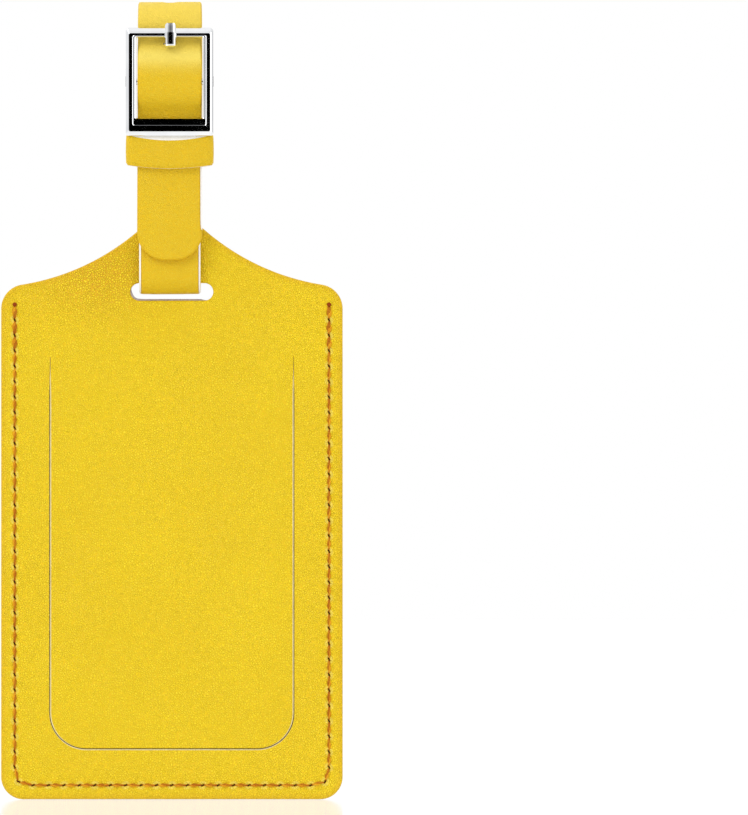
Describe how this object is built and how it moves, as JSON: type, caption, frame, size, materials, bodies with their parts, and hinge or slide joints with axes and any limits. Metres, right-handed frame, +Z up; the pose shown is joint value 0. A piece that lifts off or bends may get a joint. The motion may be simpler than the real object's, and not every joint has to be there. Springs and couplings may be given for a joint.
{
  "type": "luggage tag",
  "caption": "Stitched leather luggage tag with a folding privacy flap over an address card, on a strap that loops through its slot and closes with a pronged buckle and keeper.",
  "frame": {"origin": "spot on the inner face of the strap, at the top of its loop and on its centre line, where a bag handle bears", "axes": "+Z up towards the bag handle, with the tag hanging below; -Y out of the front, the side with the flap and the buckle; +X to the right seen from the front"},
  "size_m": [0.07, 0.0263, 0.1635],
  "materials": {
    "leather_panel": "yellow pebble-grained coated leather, satin",
    "leather_strap": "yellow pebble-grained coated leather, satin",
    "lining": "cream fibre backing, matt",
    "strap_core": "pale bonded fibre core, matt",
    "clear_film": "clear soft vinyl sheet",
    "card": "plain white card",
    "board": "pale fibre board, matt",
    "thread": "twisted orange sewing thread",
    "chrome": "polished chrome plate"
  },
  "bodies": {
    "strap": {"strap_outer_skin": "leather_strap", "strap_core": "strap_core", "strap_inner_skin": "leather_strap", "buckle_frame": "chrome", "buckle_centre_bar": "chrome"},
    "prong": {"buckle_prong": "chrome"},
    "keeper": {"keeper_loop": "leather_strap"},
    "tag": {"front_panel": "leather_panel", "front_lining": "lining", "stiffener_board": "board", "back_panel": "leather_panel", "needle_thread": "thread", "bobbin_thread": "thread"},
    "flap": {"privacy_flap": "leather_panel", "flap_lining": "lining"},
    "card": {"address_card": "card", "clear_cover": "clear_film"}
  },
  "joints": [
    {"name": "tag_swing", "type": "hinge", "parent": "strap", "child": "tag", "pos_m": [0, -0.00095, -0.055], "axis": [-1, 0, 0], "range_deg": [-3, 20]},
    {"name": "flap_fold", "type": "hinge", "parent": "tag", "child": "flap", "pos_m": [0.0004, -0.00255, -0.0713], "axis": [-1, 0, 0], "range_deg": [0, 120]},
    {"name": "card_slide", "type": "slide", "parent": "tag", "child": "card", "axis": [0, 0, 1], "range_m": [0, 0.006]},
    {"name": "keeper_slide", "type": "slide", "parent": "strap", "child": "keeper", "axis": [0, 0, 1], "range_m": [-0.0093, 0]},
    {"name": "prong_pivot", "type": "hinge", "parent": "strap", "child": "prong", "pos_m": [0, -0.00535, -0.0152], "axis": [1, 0, 0], "range_deg": [0, 5]}
  ]
}
